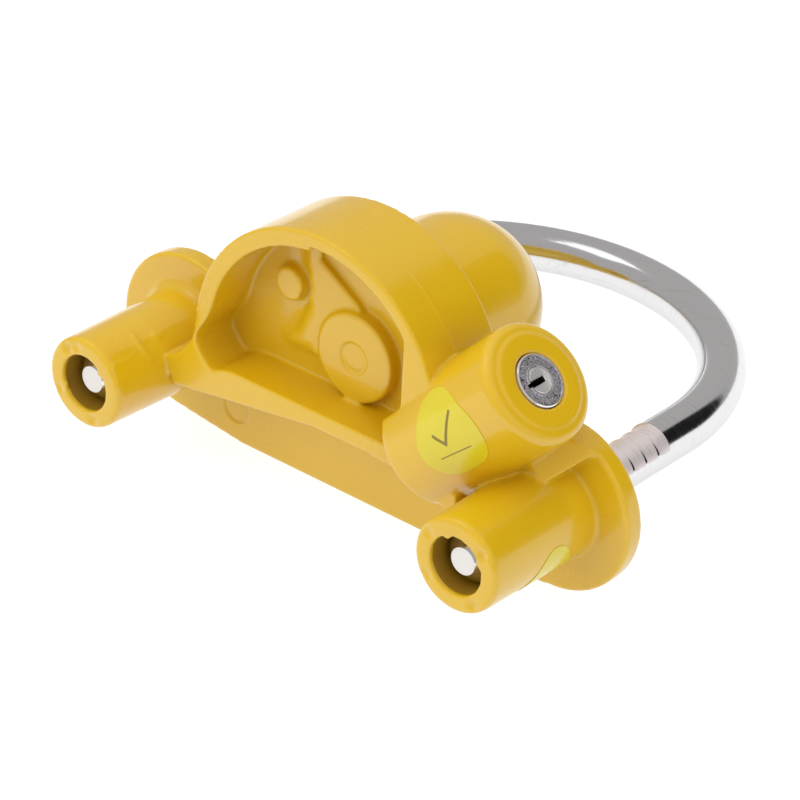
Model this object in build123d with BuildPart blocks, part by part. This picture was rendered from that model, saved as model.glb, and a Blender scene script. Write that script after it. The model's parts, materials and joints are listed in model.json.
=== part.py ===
"""Trailer coupler lock: a cast body with a ball post, a notched U shackle and a key-operated pawl.

Frame: the origin is on the ball post's axis, in the rear seating face of the body. +Y runs along the
post towards the dome and the shackle's bow, +X from the plain leg to the notched leg, +Z up.
All sizes are in millimetres. The lock is shown with its pawl drawn back, ready to open.
"""
import os
from math import ceil, cos, radians, sin, sqrt, tan

from build123d import *

os.makedirs("parts", exist_ok=True)

# ---- shackle -------------------------------------------------------------------------------------
bar_d = 12.7                # round bar, half an inch
leg_spacing = 120.0         # between the two leg axes
leg_drop = 19.0             # leg axes below the ball post's axis
bow_start = 44.4            # the legs are straight as far as this Y
tip_y = -39.4               # free ends of the legs, inside the tubes
tip_chamfer = 2.85
notch_pitch = 5.0
notch_depth = 1.75          # at the deepest point, on the side facing the lock
notch_lip = 0.35            # depth where each ramp starts
notch_floor = 0.9           # flat at the foot of each ramp
notch_eccentric = 1.2       # the notches are turned about an axis this far from the leg's own
notch_count = 13
notch_top = 32.9            # Y where the first ramp starts
leg_clearance = 0.15        # leg in its guide hole, on the radius

# ---- cast body -----------------------------------------------------------------------------------
post_r = 23.8               # ball post for a 1-7/8 inch coupler
post_length = 26.3          # straight part, before the dome
flange_r = 22.1
flange_t = 5.7
tube_front = -42.5          # open ends of the leg tubes
tube_r = 12.16              # at the open end
tube_draft = 1.0            # degrees
tube_root_r = 3.0
tube_mouth_r = 7.5          # wide front part of each leg hole
tube_mouth_depth = 15.0
flange_edge_r = 0.8
bar_low = 24.4              # lower edge of the bar below the leg axes, in the middle
bar_top = 12.0              # upper corners of the bar above the leg axes, behind the flanges
bar_low_half = 40.0         # half the length of that lowest stretch
arch_drop = 1.0             # arch centre below the post's axis
arch_r = 38.6
arch_wall = 4.8
rim_y = -25.2               # front rim of the cup
cup_sill_top = -9.2         # inside of the cup's straight lower wall
cup_sill_t = 4.6
cup_floor_y = -11.7         # recessed floor
cup_channel_y = -8.0        # deeper channel along the arch, on the lock side
cup_right = 27.5            # inner wall of the cup next to the lock housing
channel_width = 6.2
channel_wall = 3.6          # the arch is thinner beside the channel
channel_start = -5.0        # leans the channel's upper end to the plain side
cup_corner_r = 5.0
pad_y = -13.7               # raised pad on the cup's floor
boss_x, boss_z, boss_r, boss_y = 4.6, 2.9, 12.0, -15.4
stud_x, stud_z, stud_r, stud_y = -17.8, 14.5, 4.6, -14.6
pad_draft, stud_draft = 2.0, 3.0       # degrees
mark_r, mark_depth = 3.7, 0.4          # ejector pin marks
flare_r = 15.0              # concave sweep from the arch into the plain leg's tube
flare_turn = 70.0           # degrees that the sweep turns through
flare_rise = 2.0            # start of the sweep above the arch's centre
sill_half = 18.0            # half the straight stretch of the sill's lower edge
sill_reach, sill_dip = 46.0, 6.6       # where that edge meets each tube, and how far it has dropped
sill_bend = (33.0, 2.0)     # a point on the way there: distance from the middle, drop
sill_end_slope = 0.5
corner_turn = 15.0          # degrees above the arch's centre where the pocket leaves its round
corner_out = (-37.8, -6.0)  # the pocket's low corner on the plain side, in the sweep
corner_low = (-33.2, -10.9)
corner_end = 24.0           # distance from the middle where the corner runs into the sill
tube_mouth_edge_r = 1.3
mark_x, mark_drop = -41.9, 14.6        # mark on the bar
pad_outline = (             # raised pad: up the ridge, round the boss and back along its lower edge
    (-13.0, 32.0), (-7.5, 31.0), (-8.5, 24.2), (3.6, 16.6), (12.0, 8.0), (4.0, -6.0),
    (-7.4, -2.2), (-20.0, -2.2), (-15.7, 2.3), (-12.7, 9.0), (-11.4, 15.0), (-13.9, 21.7),
)

# ---- key lock ------------------------------------------------------------------------------------
lock_y = -15.4              # plane of the lock's axis and of the pawl
lock_offset = 26.7          # from the notched leg's axis to the lock's axis
face_out = 27.1             # from the pawl's centre line out to the housing's face
housing_r = 15.2
housing_length = 42.0
housing_edge_r = 2.2
face_ring_r = 11.6          # slightly raised centre of the housing's face
face_ring_h = 0.5
gusset_inner = 5.8          # side of the gusset, from the leg's axis towards the lock
gusset_outer = 16.0
gusset_top = 21.3           # along the lock's direction, at the flange
gusset_y = -15.7            # where the gusset's slope leaves the tube
gusset_root = 4.0           # the gusset starts this far from the leg's axis, inside the tube
gusset_bite = 1.0           # depth of its sloping edge in the tube
cut_past = 1.0              # how far cutting tools run past a surface
sleeve_r = 6.3
sleeve_length = 18.2
lock_bore_depth = 23.4      # past the pawl's bore where the crank pin swings widest
sleeve_clearance = 0.05     # sleeve in the housing, on the radius
bezel_r = 6.65
bezel_proud = 0.6
bezel_seat = 0.7            # depth of the bezel's seat in the face
bezel_gap = 0.35            # between bezel and seat, on the radius
bezel_rim = 0.5             # polished rims on both sides of the stippled ring
bezel_recess = 0.18
head_r = 3.4                # plug's head, which the sleeve's step stops
head_depth = 1.5
head_proud = 0.5
head_edge = 0.3
plug_r = 3.1
plug_clearance = 0.05
plug_length = 19.4
keyway_w = 1.5
keyway_end = 1.6            # closed end of the keyway, from the plug's axis
keyway_length = 17.0
keyway_notch_w = 1.0        # small notch in the bezel at the keyway's open end
keyway_notch_r = 4.4
wafer_count = 8
wafer_t = 0.7
wafer_w = 3.6
wafer_r = 3.0               # rounded ends of the wafers, flush in the plug
wafer_pitch = 1.75
wafer_first = 3.2           # depth of the first wafer behind the face
wafer_gap = 0.06
wafer_window = (1.8, 3.0)
wafer_travel = 0.5
wafer_end_gap = 0.35        # beyond a wafer's end when it is out
channel_w = 4.4             # grooves in the sleeve that the wafers enter
clip_t = 0.5
clip_r = 4.8
clip_groove_r = 2.6
clip_opening = 60.0         # degrees
tang_side = 3.0
cam_r = 4.4
cam_t = 1.6
cam_web = 0.5               # closed end of the cam below the tang
cam_gap = 0.1
crank = 1.4                 # eccentricity of the cam's pin
crank_pin_r = 1.1
crank_pin_length = 4.1
pawl_r = 4.5
pawl_clearance = 0.08
pawl_tip_gap = 0.55         # drawn-back pawl to the leg's surface
pawl_tooth_h = 2.3
pawl_tooth_side = 0.25      # from the notch's steep wall
pawl_tooth_flat = 0.85
pawl_tooth_w = 3.6
pawl_tooth_half = 2.4       # half the tooth's width across the leg
pawl_back = 5.6             # pawl's rear end behind its cross slot
slot_gap = 0.12             # crank pin in the pawl's cross slot, each side
slot_floor_gap = 0.4
spring_seat = 12.4          # blind end of the pawl's bore, behind the lock's axis
spring_r = 2.6
spring_wire = 0.8
spring_turns = 4
spring_gap = 0.1            # between the wire's end and the pawl
bore_plug_t = 3.0           # plug in the drilled end of the pawl's bore
bore_plug_sunk = 1.2        # below the tube's surface, so that its flat end stays inside the round
pin_r = 1.25                # cross pin that holds the sleeve
pin_depth = 12.0            # behind the housing's face
pin_bite = 1.5              # how far the pin enters the sleeve
pin_sunk = 0.5              # below the rear face
ring_wire_r = 0.5           # seal ring round the sleeve
ring_depth = 2.6
sticker_t = 0.12
housing_sticker_r = 19.0    # corners of the sticker before they are rounded
housing_sticker_corner = 8.0
housing_sticker_depth = 20.3
housing_sticker_side = 7.6  # plane that the outline is drawn on, from the housing's axis
tube_sticker_r = 15.0
tube_sticker_corner = 6.0
tube_sticker_y = -20.0
tube_sticker_side = 3.6     # plane that the outline is drawn on, from the leg's axis
tube_sticker_turn = 42.0    # degrees below the horizontal

# ---- worked out from the sizes above -------------------------------------------------------------
bar_r = bar_d / 2
leg_x = leg_spacing / 2
leg_z = -leg_drop
arch_z = -arch_drop
inner_r = arch_r - arch_wall
sill_bottom = cup_sill_top - cup_sill_t
tube_r_root = tube_r + (-tube_front - flange_t) * tan(radians(tube_draft))
notched_leg = Vector(leg_x, 0, leg_z)
outward = Vector(1, 0, 1).normalized()          # along the lock, out of its face
to_leg = Vector(1, 0, -1).normalized()          # along the pawl, towards the leg
across = Vector(0, 1, 0)
pawl_cross = notched_leg - to_leg * lock_offset + across * lock_y     # lock axis meets pawl axis
lock_face = pawl_cross + outward * face_out
notch_wall = notch_top - notch_pitch * ceil((notch_top - lock_y) / notch_pitch)   # wall below the pawl
pawl_bore_r = pawl_r + pawl_clearance
head_bore_r = head_r + plug_clearance
ring_groove_r = sleeve_r - 2 * ring_wire_r
pawl_reach = crank * sqrt(2)                    # a quarter turn, 45 degrees each side of middle
cross_slot = -pawl_reach / 2                    # middle of the pawl's slot when drawn back
pawl_tip = lock_offset - bar_r - pawl_tip_gap
pawl_shoulder = pawl_tip - pawl_tooth_h
cam_depth = plug_length + cam_gap
channel_r = wafer_r + wafer_travel + wafer_end_gap
crank_pin_end = cam_depth + cam_t + cam_web + crank_pin_length
pin_point = lock_face - outward * pin_depth
print("pawl reach", round(pawl_reach, 3), "notch wall", round(notch_wall, 3))


def lock_plane(depth):
    """Plane across the lock at a depth behind the housing's face; its X is +Y, its normal points out."""
    return Plane(origin=lock_face - outward * depth, x_dir=across, z_dir=outward)


def lock_section():
    """Plane through the lock's axis: its X is the radius, its Y points out along the axis."""
    return Plane(origin=lock_face, x_dir=across, z_dir=across.cross(outward))


def pawl_plane(distance):
    """Plane across the pawl's bore, at a distance from the lock's axis towards the leg."""
    return Plane(origin=pawl_cross + to_leg * distance, x_dir=across, z_dir=to_leg)


def front_plane(y):
    """Plane facing the front (-Y) at a given Y, with X and Z as its own axes."""
    return Plane.XZ.offset(-y)


def finish_part(part, name):
    """Label a finished piece and write it as its own STEP file."""
    part.label = name
    export_step(part, f"parts/{name}.step")


# ---- gusset between the notched leg's tube and its flange, part of the casting -------------------
with BuildPart() as gusset:
    with BuildSketch(Plane(origin=notched_leg - to_leg * gusset_inner, x_dir=outward, z_dir=-to_leg)):
        with BuildLine():
            Polyline(
                (gusset_root, 0), (gusset_top, 0), (gusset_top, -flange_t),
                (tube_r - gusset_bite, gusset_y), (gusset_root, gusset_y), (gusset_root, 0),
            )
        make_face()
    extrude(amount=gusset_outer - gusset_inner)
    with BuildSketch(front_plane(0)):
        with Locations((leg_x, leg_z)):
            Circle(flange_r)
    extrude(amount=-gusset_y, mode=Mode.INTERSECT)

# ---- lock body -----------------------------------------------------------------------------------
with BuildPart() as lock_body:
    # flanges and leg tubes, turned about each leg's axis
    for side in (-1, 1):
        with BuildSketch(Plane(origin=(side * leg_x, 0, leg_z))) as tube_profile:
            with BuildLine():
                Polyline(
                    (0, 0), (flange_r, 0), (flange_r, -flange_t), (tube_r_root, -flange_t),
                    (tube_r, tube_front), (0, tube_front), (0, 0),
                )
            make_face()
            fillet(tube_profile.vertices().sort_by(Axis.X)[2], tube_mouth_edge_r)
            fillet(tube_profile.vertices().group_by(Axis.X)[-1], flange_edge_r)
            fillet(tube_profile.vertices().filter_by(lambda v: abs(v.Y + flange_t) < 0.01)[0], tube_root_r)
        revolve(axis=Axis((side * leg_x, 0, leg_z), (0, 1, 0)))

    # bar that joins the flanges below the cup
    with BuildSketch(front_plane(0)):
        with BuildLine():
            Polyline(
                (-leg_x, leg_z - flange_r), (-bar_low_half, leg_z - bar_low),
                (bar_low_half, leg_z - bar_low), (leg_x, leg_z - flange_r),
                (leg_x, leg_z + bar_top), (-leg_x, leg_z + bar_top),
                (-leg_x, leg_z - flange_r),
            )
        make_face()
    extrude(amount=flange_t)

    # arched cup, open at the front, on a straight sill
    with BuildSketch(front_plane(0)):
        with Locations((0, arch_z)):
            Circle(arch_r)
        with Locations((0, sill_bottom)):
            Rectangle(2 * arch_r, 2 * arch_r, align=(Align.CENTER, Align.MAX), mode=Mode.SUBTRACT)
    extrude(amount=-rim_y)

    # concave sweep from the arch's plain side into the tube
    with BuildSketch(front_plane(0)):
        sweep_top = (-arch_r, arch_z + flare_rise)
        sweep_end = (
            -arch_r - flare_r * (1 - cos(radians(flare_turn))),
            arch_z + flare_rise - flare_r * sin(radians(flare_turn)),
        )
        with BuildLine():
            RadiusArc(sweep_top, sweep_end, flare_r)
            Polyline(sweep_end, (-sill_reach, sill_bottom - sill_dip), (0, sill_bottom), sweep_top)
        make_face()
    extrude(amount=-rim_y)

    # the sill's lower edge curves down into both tubes
    with BuildSketch(front_plane(0)):
        for side in (-1, 1):
            sill_start = (side * sill_half, sill_bottom)
            sill_end = (side * sill_reach, sill_bottom - sill_dip)
            with BuildLine():
                Spline(
                    sill_start, (side * sill_bend[0], sill_bottom - sill_bend[1]), sill_end,
                    tangents=((side, 0), (side, -sill_end_slope)),
                )
                Polyline(
                    sill_end, (side * sill_reach, sill_bottom),
                    (side * sill_half, sill_bottom + cut_past), sill_start,
                )
            make_face()
    extrude(amount=-rim_y)

    # housing of the key lock, turned about the lock's axis
    with BuildSketch(lock_section()) as housing_profile:
        with BuildLine():
            Polyline(
                (0, face_ring_h), (face_ring_r, face_ring_h), (face_ring_r + face_ring_h, 0),
                (housing_r, 0), (housing_r, -housing_length), (0, -housing_length), (0, face_ring_h),
            )
        make_face()
        fillet(housing_profile.vertices().group_by(Axis.X)[-1].sort_by(Axis.Y)[-1], housing_edge_r)
    revolve(axis=Axis(lock_face, outward))

    # the gusset beside the notched leg's tube, inside the round of its flange
    add(gusset.part)

    # ball post and dome, turned about +Y
    with BuildSketch(Plane.XY):
        with BuildLine():
            Line((0, 0), (post_r, 0))
            Line((post_r, 0), (post_r, post_length))
            ThreePointArc(
                (post_r, post_length),
                (post_r * sin(radians(45)), post_length + post_r * sin(radians(45))),
                (0, post_length + post_r),
            )
            Line((0, post_length + post_r), (0, 0))
        make_face()
    revolve(axis=Axis.Y)

    # the cup's pocket: recessed floor, then the deeper channel beside the pad
    with BuildSketch(front_plane(rim_y)) as pocket:
        with Locations((0, arch_z)):
            Circle(inner_r)
        with Locations((0, cup_sill_top)):
            Rectangle(2 * arch_r, 2 * arch_r, align=(Align.CENTER, Align.MAX), mode=Mode.SUBTRACT)
        with Locations((cup_right, 0)):
            Rectangle(arch_r, 2 * arch_r, align=(Align.MIN, Align.CENTER), mode=Mode.SUBTRACT)
        turn = radians(corner_turn)
        corner_start = (-inner_r * cos(turn), arch_z + inner_r * sin(turn))
        with BuildLine():
            Spline(
                corner_start, corner_out, corner_low, (-corner_end, cup_sill_top),
                tangents=((-sin(turn), -cos(turn)), (1, 0)),
            )
            Polyline((-corner_end, cup_sill_top), (0, arch_z), corner_start)
        make_face()
        fillet(pocket.vertices().filter_by(lambda v: v.X > cup_right - 0.1), cup_corner_r)
    extrude(amount=-(cup_floor_y - rim_y), mode=Mode.SUBTRACT)
    with BuildSketch(front_plane(rim_y)):
        with Locations((0, arch_z)):
            Circle(arch_r - channel_wall)
            Circle(arch_r - channel_wall - channel_width, mode=Mode.SUBTRACT)
        with BuildLine():
            Polyline(
                (0, 0), (channel_start, 2 * arch_r), (2 * arch_r, 2 * arch_r),
                (2 * arch_r, cup_sill_top), (0, 0),
            )
        make_face(mode=Mode.INTERSECT)
        with Locations((cup_right, 0)):
            Rectangle(arch_r, 2 * arch_r, align=(Align.MIN, Align.CENTER), mode=Mode.SUBTRACT)
    extrude(amount=-(cup_channel_y - rim_y), mode=Mode.SUBTRACT)

    # pad, round boss and small stud on the pocket's floor
    with BuildSketch(front_plane(cup_channel_y)):
        with BuildLine():
            Polyline(*pad_outline, pad_outline[0])
        make_face()
        with Locations((0, arch_z)):
            Circle(inner_r + arch_wall / 2, mode=Mode.INTERSECT)
    extrude(amount=cup_channel_y - pad_y)
    with BuildSketch(front_plane(cup_channel_y)):
        with Locations((boss_x, boss_z)):
            Circle(boss_r)
    extrude(amount=cup_channel_y - boss_y, taper=pad_draft)
    with BuildSketch(front_plane(cup_floor_y)):
        with Locations((stud_x, stud_z)):
            Circle(stud_r)
    extrude(amount=cup_floor_y - stud_y, taper=stud_draft)

    # ejector pin marks on the boss and on the bar
    with BuildSketch(front_plane(boss_y)):
        with Locations((boss_x, boss_z)):
            Circle(mark_r)
    extrude(amount=-mark_depth, mode=Mode.SUBTRACT)
    with BuildSketch(front_plane(-flange_t)):
        with Locations((mark_x, leg_z - mark_drop)):
            Circle(mark_r)
    extrude(amount=-mark_depth, mode=Mode.SUBTRACT)

    # leg holes: a guide right through, and a wide mouth at the open end of each tube
    with BuildSketch(front_plane(0)):
        with Locations((-leg_x, leg_z), (leg_x, leg_z)):
            Circle(bar_r + leg_clearance)
    extrude(amount=-tube_front, mode=Mode.SUBTRACT)
    with BuildSketch(front_plane(tube_front + tube_mouth_depth)):
        with Locations((-leg_x, leg_z), (leg_x, leg_z)):
            Circle(tube_mouth_r)
    extrude(amount=tube_mouth_depth, mode=Mode.SUBTRACT)

    # bore of the key lock, with the bezel's seat, and the pawl's bore across its end
    with BuildSketch(lock_plane(lock_bore_depth)):
        Circle(sleeve_r + sleeve_clearance)
    extrude(amount=lock_bore_depth + face_ring_h, mode=Mode.SUBTRACT)
    with BuildSketch(lock_plane(bezel_seat)):
        Circle(bezel_r + bezel_gap)
    extrude(amount=bezel_seat + face_ring_h, mode=Mode.SUBTRACT)
    with BuildSketch(pawl_plane(-spring_seat)):
        Circle(pawl_bore_r)
    extrude(amount=spring_seat + lock_offset + 2 * tube_r, mode=Mode.SUBTRACT)

    # hole for the cross pin, drilled from the rear face
    with BuildSketch(front_plane(0)):
        with Locations((pin_point.X, pin_point.Z)):
            Circle(pin_r)
    extrude(amount=-lock_y, mode=Mode.SUBTRACT)
finish_part(lock_body.part, "lock_body")

# ---- shackle -------------------------------------------------------------------------------------
with BuildPart() as shackle:
    with BuildLine(Plane.XY.offset(leg_z)) as shackle_path:
        Line((leg_x, tip_y), (leg_x, bow_start))
        RadiusArc((leg_x, bow_start), (-leg_x, bow_start), -leg_x)
        Line((-leg_x, bow_start), (-leg_x, tip_y))
    with BuildSketch(Plane(origin=(leg_x, tip_y, leg_z), x_dir=(1, 0, 0), z_dir=(0, 1, 0))):
        Circle(bar_r)
    sweep()
    tips = shackle.edges().filter_by(GeomType.CIRCLE).group_by(Axis.Y)[0]
    chamfer(tips, tip_chamfer)

    # ratchet notches, turned about an axis set off from the leg's own, so they fade out round the bar
    lip_r = bar_r - notch_lip + notch_eccentric
    root_r = bar_r - notch_depth + notch_eccentric
    outer_r = bar_r + notch_eccentric + cut_past
    notch_axis = notched_leg + to_leg * notch_eccentric
    with BuildSketch(Plane(origin=notch_axis, x_dir=-to_leg, z_dir=(-to_leg).cross(across))):
        with BuildLine():
            profile = [(outer_r, notch_top), (lip_r, notch_top)]
            for i in range(notch_count):
                wall_y = notch_top - (i + 1) * notch_pitch
                profile += [(root_r, wall_y + notch_floor), (root_r, wall_y), (lip_r, wall_y)]
            profile += [(outer_r, wall_y), (outer_r, notch_top)]
            Polyline(*profile)
        make_face()
    revolve(axis=Axis(notch_axis, across), mode=Mode.SUBTRACT)
finish_part(shackle.part, "shackle")

# ---- lock sleeve ---------------------------------------------------------------------------------
with BuildPart() as lock_sleeve:
    with BuildSketch(lock_section()):
        with BuildLine():
            Polyline(
                (head_bore_r, bezel_proud), (head_bore_r + bezel_rim, bezel_proud),
                (head_bore_r + bezel_rim, bezel_proud - bezel_recess),
                (bezel_r - bezel_rim, bezel_proud - bezel_recess), (bezel_r - bezel_rim, bezel_proud),
                (bezel_r - bezel_rim / 2, bezel_proud), (bezel_r, bezel_proud - bezel_rim / 2),
                (bezel_r, -bezel_seat), (sleeve_r, -bezel_seat),
                (sleeve_r, -ring_depth + ring_wire_r), (ring_groove_r, -ring_depth + ring_wire_r),
                (ring_groove_r, -ring_depth - ring_wire_r), (sleeve_r, -ring_depth - ring_wire_r),
                (sleeve_r, -sleeve_length), (plug_r + plug_clearance, -sleeve_length),
                (plug_r + plug_clearance, -head_depth - plug_clearance),
                (head_bore_r, -head_depth - plug_clearance), (head_bore_r, bezel_proud),
            )
        make_face()
    revolve(axis=Axis(lock_face, outward))

    # grooves for the wafers, a quarter turn apart, and the notch beside the keyway
    with BuildSketch(lock_plane(wafer_first - wafer_t)):
        Rectangle(2 * channel_r, channel_w)
        Rectangle(channel_w, 2 * channel_r)
        Circle(channel_r, mode=Mode.INTERSECT)
    extrude(amount=-(wafer_count * wafer_pitch + wafer_t), mode=Mode.SUBTRACT)
    with BuildSketch(lock_plane(-bezel_proud)):
        with Locations((-keyway_notch_r, 0)):
            Rectangle(keyway_notch_r, keyway_notch_w, align=(Align.MIN, Align.CENTER))
    extrude(amount=-head_depth, mode=Mode.SUBTRACT)

    # seat of the cross pin
    with BuildSketch(front_plane(lock_y + sleeve_r + cut_past)):
        with Locations((pin_point.X, pin_point.Z)):
            Circle(pin_r)
    extrude(amount=pin_bite + cut_past, mode=Mode.SUBTRACT)
finish_part(lock_sleeve.part, "lock_sleeve")

# ---- key plug ------------------------------------------------------------------------------------
with BuildPart() as key_plug:
    with BuildSketch(lock_section()):
        with BuildLine():
            Polyline(
                (0, head_proud), (head_r - head_edge, head_proud), (head_r, head_proud - head_edge),
                (head_r, -head_depth), (plug_r, -head_depth),
                (plug_r, -sleeve_length - cam_gap), (clip_groove_r, -sleeve_length - cam_gap),
                (clip_groove_r, -sleeve_length - cam_gap - clip_t),
                (plug_r, -sleeve_length - cam_gap - clip_t),
                (plug_r, -plug_length), (0, -plug_length), (0, head_proud),
            )
        make_face()
    revolve(axis=Axis(lock_face, outward))
    with BuildSketch(lock_plane(plug_length)):
        Rectangle(tang_side, tang_side)
    extrude(amount=-(cam_gap + cam_t))

    # keyway, open towards the front of the lock, and one slot for each wafer
    with BuildSketch(lock_plane(-head_proud)):
        with Locations((keyway_end, 0)):
            Rectangle(2 * head_r, keyway_w, align=(Align.MAX, Align.CENTER))
    extrude(amount=-(keyway_length + head_proud), mode=Mode.SUBTRACT)
    for i in range(wafer_count):
        with BuildSketch(lock_plane(wafer_first + i * wafer_pitch - wafer_gap)):
            Rectangle(2 * head_r, wafer_w + 2 * wafer_gap)
        extrude(amount=-(wafer_t + 2 * wafer_gap), mode=Mode.SUBTRACT)
finish_part(key_plug.part, "key_plug")

# ---- wafers, one by one --------------------------------------------------------------------------
for i in range(wafer_count):
    with BuildPart() as wafer:
        with BuildSketch(lock_plane(wafer_first + i * wafer_pitch)):
            Rectangle(2 * wafer_r, wafer_w)
            Circle(wafer_r, mode=Mode.INTERSECT)
            Rectangle(wafer_window[1], wafer_window[0], mode=Mode.SUBTRACT)
        extrude(amount=-wafer_t)
    finish_part(wafer.part, f"wafer_{i + 1}")

# ---- plug clip, an open snap ring ----------------------------------------------------------------
with BuildPart() as plug_clip:
    with BuildSketch(lock_plane(sleeve_length + cam_gap)):
        Circle(clip_r)
        Circle(clip_groove_r, mode=Mode.SUBTRACT)
        with BuildLine():
            Polyline(
                (0, 0), (2 * clip_r, 2 * clip_r * tan(radians(clip_opening / 2))),
                (2 * clip_r, -2 * clip_r * tan(radians(clip_opening / 2))), (0, 0),
            )
        make_face(mode=Mode.SUBTRACT)
    extrude(amount=-clip_t)
finish_part(plug_clip.part, "plug_clip")

# ---- drive cam -----------------------------------------------------------------------------------
with BuildPart() as drive_cam:
    with BuildSketch(lock_plane(cam_depth)):
        Circle(cam_r)
        Rectangle(tang_side, tang_side, mode=Mode.SUBTRACT)
    extrude(amount=-cam_t)
    with BuildSketch(lock_plane(cam_depth + cam_t)):
        Circle(cam_r)
    extrude(amount=-cam_web)
    with BuildSketch(lock_plane(cam_depth + cam_t + cam_web)):
        with Locations((crank * cos(radians(45)), crank * sin(radians(45)))):
            Circle(crank_pin_r)
    extrude(amount=-crank_pin_length)
finish_part(drive_cam.part, "drive_cam")

# ---- pawl ----------------------------------------------------------------------------------------
with BuildPart() as pawl:
    with BuildSketch(pawl_plane(cross_slot - pawl_back)):
        Circle(pawl_r)
    extrude(amount=pawl_shoulder - cross_slot + pawl_back)

    # wedge tooth: steep on the side that holds the shackle in, sloped to let it ratchet inwards
    tooth_low = notch_wall - lock_y + pawl_tooth_side
    ramp_slope = (notch_depth - notch_lip) / (notch_pitch - notch_floor)
    ramp_length = pawl_tooth_w - pawl_tooth_flat
    tooth_plane = Plane(origin=pawl_cross - outward * pawl_tooth_half, x_dir=across, z_dir=outward)
    with BuildSketch(tooth_plane):
        with BuildLine():
            Polyline(
                (tooth_low, -pawl_shoulder + cut_past), (tooth_low, -pawl_tip),
                (tooth_low + pawl_tooth_flat, -pawl_tip),
                (tooth_low + pawl_tooth_w, -pawl_tip + ramp_slope * ramp_length),
                (tooth_low + pawl_tooth_w, -pawl_shoulder + cut_past),
                (tooth_low, -pawl_shoulder + cut_past),
            )
        make_face()
    extrude(amount=2 * pawl_tooth_half)

    # slot for the crank pin, across the pawl on the side of the lock's face
    slot_half = crank_pin_r + slot_gap
    slot_floor = crank_pin_end - face_out + slot_floor_gap
    with BuildSketch(Plane(origin=pawl_cross - outward * slot_floor, x_dir=across, z_dir=outward)):
        with Locations((-crank_pin_r, -cross_slot)):
            Rectangle(crank + 2 * slot_half, 2 * slot_half, align=(Align.MIN, Align.CENTER))
    extrude(amount=pawl_r + slot_floor, mode=Mode.SUBTRACT)
finish_part(pawl.part, "pawl")

# ---- pawl spring, wound between the bore's blind end and the pawl --------------------------------
spring_length = spring_seat + cross_slot - pawl_back - spring_wire - spring_gap
with BuildPart() as pawl_spring:
    with BuildLine():
        coil = Helix(
            pitch=spring_length / spring_turns, height=spring_length, radius=spring_r,
            center=pawl_cross - to_leg * (spring_seat - spring_wire / 2), direction=to_leg,
        )
    with BuildSketch(Plane(origin=coil @ 0, z_dir=coil % 0)):
        Circle(spring_wire / 2)
    sweep(path=coil, is_frenet=True)
finish_part(pawl_spring.part, "pawl_spring")

# ---- small parts that close and hold the lock ----------------------------------------------------
with BuildPart() as cylinder_pin:
    with BuildSketch(front_plane(-pin_sunk)):
        with Locations((pin_point.X, pin_point.Z)):
            Circle(pin_r)
    extrude(amount=-pin_sunk - (lock_y + sleeve_r - pin_bite))
finish_part(cylinder_pin.part, "cylinder_pin")

with BuildPart() as seal_ring:
    with BuildSketch(lock_section()):
        with Locations((sleeve_r - ring_wire_r, -ring_depth)):
            Circle(ring_wire_r)
    revolve(axis=Axis(lock_face, outward))
finish_part(seal_ring.part, "seal_ring")

with BuildPart() as bore_plug:
    with BuildSketch(pawl_plane(lock_offset + tube_r - bore_plug_sunk - bore_plug_t)):
        Circle(pawl_bore_r)
    extrude(amount=bore_plug_t)
finish_part(bore_plug.part, "bore_plug")

# ---- stickers, thin films bent round the housing and round the tube ------------------------------
with BuildPart() as housing_sticker:
    with BuildSketch(lock_plane(housing_sticker_depth + housing_sticker_r)):
        Circle(housing_r + sticker_t)
        Circle(housing_r, mode=Mode.SUBTRACT)
    extrude(amount=2 * housing_sticker_r)
    sticker_middle = lock_face - outward * housing_sticker_depth - across * housing_sticker_side
    with BuildSketch(Plane(origin=sticker_middle, x_dir=outward, z_dir=-across)) as housing_outline:
        RegularPolygon(radius=housing_sticker_r, side_count=3, rotation=90)
        fillet(housing_outline.vertices(), housing_sticker_corner)
    extrude(amount=housing_r, mode=Mode.INTERSECT)
finish_part(housing_sticker.part, "housing_sticker")

with BuildPart() as tube_sticker:
    # the tube's own slope, from its open end to its root, with the film outside it
    slope = (tube_r_root - tube_r) / (-flange_t - tube_front)
    film_front, film_back = tube_sticker_y - tube_sticker_r, tube_sticker_y + tube_sticker_r
    front_r = tube_r + (film_front - tube_front) * slope
    back_r = tube_r + (film_back - tube_front) * slope
    with BuildSketch(Plane(origin=notched_leg)):
        with BuildLine():
            Polyline(
                (front_r, film_front), (front_r + sticker_t, film_front),
                (back_r + sticker_t, film_back), (back_r, film_back), (front_r, film_front),
            )
        make_face()
    revolve(axis=Axis(notched_leg, across))
    sticker_out = Vector(1, 0, 0).rotate(Axis.Y, tube_sticker_turn)
    sticker_middle = notched_leg + across * tube_sticker_y + sticker_out * tube_sticker_side
    with BuildSketch(Plane(origin=sticker_middle, x_dir=across, z_dir=sticker_out)) as tube_outline:
        RegularPolygon(radius=tube_sticker_r, side_count=3, rotation=90)
        fillet(tube_outline.vertices(), tube_sticker_corner)
    extrude(amount=tube_r, mode=Mode.INTERSECT)
finish_part(tube_sticker.part, "tube_sticker")
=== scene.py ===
# %% [markdown]
# # A trailer coupler lock
# The object is a die-cast body with a ball post, a chromed U shackle and a small key lock. The packed
# model brings every part at its true size and place. This notebook gives those parts their finish, and
# rebuilds the ones whose look depends on soft edges, paint or a polished curve.

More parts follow.
